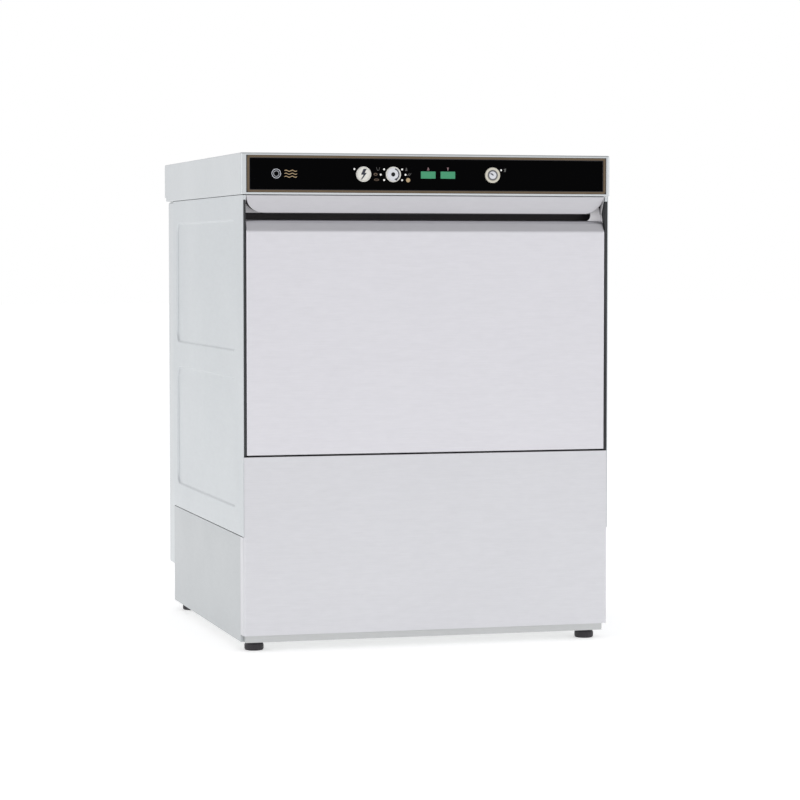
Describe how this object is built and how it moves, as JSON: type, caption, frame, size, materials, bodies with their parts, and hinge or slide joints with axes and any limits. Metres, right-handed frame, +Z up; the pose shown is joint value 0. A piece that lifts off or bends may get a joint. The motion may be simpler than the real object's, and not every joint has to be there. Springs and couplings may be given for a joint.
{
  "type": "commercial dishwasher",
  "caption": "Undercounter commercial dishwasher with a sprung drop-down door, black touch fascia, spray arms and wash tank.",
  "frame": {"origin": "on the floor, under the middle of the machine's outer box", "axes": "+Z up, the door and control panel face -Y, +X is to the right of someone facing the door"},
  "size_m": [0.606, 0.646, 0.781],
  "materials": {
    "front_steel": "fine satin-brushed stainless sheet, pale and evenly lit",
    "side_steel": "satin stainless sheet with pressed fields",
    "cover_steel": "satin-brushed stainless sheet",
    "chamber_steel": "smooth stainless sheet with fine water marks",
    "bracket_steel": "plain steel strip, cut edges",
    "spring_steel": "bright zinc-plated steel",
    "arm_steel": "pressed stainless tube",
    "bronze_trim": "dark bronze anodised border, satin",
    "black_glass": "back-printed black glass, high gloss",
    "display_green": "lit green segment display",
    "lamp_white": "small white light pipe",
    "key_white": "moulded white key with a printed symbol",
    "key_cream": "moulded cream key with a grey ring",
    "black_plastic": "moulded black plastic, fine texture",
    "grip_plastic": "dark moulded pocket behind the handle",
    "seal_rubber": "extruded rubber seal",
    "hose_rubber": "ribbed rubber hose",
    "filter_steel": "perforated stainless sheet",
    "heater_steel": "heat-tinted steel sheath",
    "board_green": "solder-masked circuit board",
    "pump_plastic": "glass-filled black plastic",
    "motor_paint": "blue-grey painted motor case",
    "white_plastic": "off-white moulded pump body",
    "boiler_steel": "welded stainless vessel",
    "brass_fitting": "machined brass",
    "galvanised": "galvanised sheet box"
  },
  "bodies": {
    "cabinet": {"base_frame": "bracket_steel", "front_lower_panel": "front_steel", "left_base_panel": "side_steel", "right_base_panel": "side_steel", "left_side_panel": "side_steel", "right_side_panel": "side_steel", "rear_base_plate": "bracket_steel", "rear_cover": "cover_steel", "cover_spacers": "bracket_steel", "panel_screws": "spring_steel", "top_cover": "cover_steel", "fascia_bezel": "bronze_trim", "fascia_glass": "black_glass", "temperature_displays": "display_green", "indicator_lights": "lamp_white", "control_board": "board_green", "front_frame": "chamber_steel", "door_gasket": "seal_rubber", "door_edge_strips": "seal_rubber", "hinge_brackets": "bracket_steel", "spring_brackets": "bracket_steel", "door_springs": "spring_steel", "wash_chamber": "chamber_steel", "rack_rails": "arm_steel", "wash_tank": "chamber_steel", "tank_filters": "filter_steel", "filter_basket": "filter_steel", "overflow_pipe": "black_plastic", "tank_heater": "heater_steel", "lower_spindle": "arm_steel", "ceiling_duct": "arm_steel", "riser_pipe": "arm_steel", "wash_pump_housing": "pump_plastic", "wash_pump_motor": "motor_paint", "drain_pump": "white_plastic", "boiler": "boiler_steel", "rinse_pump": "motor_paint", "water_connections": "brass_fitting", "dosing_pumps": "pump_plastic", "electrical_box": "galvanised", "water_hoses": "hose_rubber"},
    "door": {"door_skin": "front_steel", "door_liner": "chamber_steel", "handle_lip": "front_steel", "handle_grip": "grip_plastic", "hinge_pins": "spring_steel", "hinge_quadrants": "bracket_steel"},
    "spring_rods": {"spring_rods": "spring_steel"},
    "power_button": {"power_button": "key_white"},
    "program_button": {"program_button": "key_white"},
    "start_button": {"start_button": "key_cream"},
    "lower_wash_arm": {"lower_wash_arm": "arm_steel"},
    "lower_rinse_arm": {"lower_rinse_arm": "arm_steel"},
    "upper_wash_arm": {"upper_wash_arm": "arm_steel"},
    "upper_rinse_arm": {"upper_rinse_arm": "arm_steel"},
    "pump_impeller": {"pump_impeller": "arm_steel"},
    "foot_front_left": {"foot_front_left": "black_plastic"},
    "foot_front_right": {"foot_front_right": "black_plastic"},
    "foot_rear_left": {"foot_rear_left": "black_plastic"},
    "foot_rear_right": {"foot_rear_right": "black_plastic"}
  },
  "joints": [
    {"name": "door_hinge", "type": "hinge", "parent": "cabinet", "child": "door", "pos_m": [0, -0.31, 0.34], "axis": [1, 0, 0], "range_deg": [0, 88], "stiffness_Nm_per_rad": 5, "springref_deg": -17.19},
    {"name": "spring_rods_slide", "type": "slide", "parent": "cabinet", "child": "spring_rods", "axis": [0, -1, 0], "range_m": [0, 0.053], "deforming": ["door_springs"]},
    {"name": "power_button_press", "type": "slide", "parent": "cabinet", "child": "power_button", "axis": [0, 1, 0], "range_m": [0, 0.0015], "stiffness_N_per_m": 400},
    {"name": "program_button_press", "type": "slide", "parent": "cabinet", "child": "program_button", "axis": [0, 1, 0], "range_m": [0, 0.0015], "stiffness_N_per_m": 400},
    {"name": "start_button_press", "type": "slide", "parent": "cabinet", "child": "start_button", "axis": [0, 1, 0], "range_m": [0, 0.0015], "stiffness_N_per_m": 400},
    {"name": "lower_wash_arm_spin", "type": "hinge", "parent": "cabinet", "child": "lower_wash_arm", "pos_m": [0, -0.01, 0.33], "axis": [0, 0, 1], "continuous": true},
    {"name": "lower_rinse_arm_spin", "type": "hinge", "parent": "cabinet", "child": "lower_rinse_arm", "pos_m": [0, -0.01, 0.33], "axis": [0, 0, 1], "continuous": true},
    {"name": "upper_wash_arm_spin", "type": "hinge", "parent": "cabinet", "child": "upper_wash_arm", "pos_m": [0, -0.01, 0.67], "axis": [0, 0, 1], "continuous": true},
    {"name": "upper_rinse_arm_spin", "type": "hinge", "parent": "cabinet", "child": "upper_rinse_arm", "pos_m": [0, -0.01, 0.67], "axis": [0, 0, 1], "continuous": true},
    {"name": "pump_impeller_spin", "type": "hinge", "parent": "cabinet", "child": "pump_impeller", "pos_m": [0, 0.12, 0.1], "axis": [1, 0, 0], "continuous": true},
    {"name": "foot_front_left_screw", "type": "hinge", "parent": "cabinet", "child": "foot_front_left", "pos_m": [-0.275, -0.281, 0.015], "axis": [0, 0, 1], "continuous": true},
    {"name": "foot_front_right_screw", "type": "hinge", "parent": "cabinet", "child": "foot_front_right", "pos_m": [0.275, -0.281, 0.015], "axis": [0, 0, 1], "continuous": true},
    {"name": "foot_rear_left_screw", "type": "hinge", "parent": "cabinet", "child": "foot_rear_left", "pos_m": [-0.275, 0.232, 0.015], "axis": [0, 0, 1], "continuous": true},
    {"name": "foot_rear_right_screw", "type": "hinge", "parent": "cabinet", "child": "foot_rear_right", "pos_m": [0.275, 0.232, 0.015], "axis": [0, 0, 1], "continuous": true}
  ],
  "couplings": [
    {"joint": "spring_rods_slide", "follows": "door_hinge", "m_per_rad": 0.034}
  ]
}
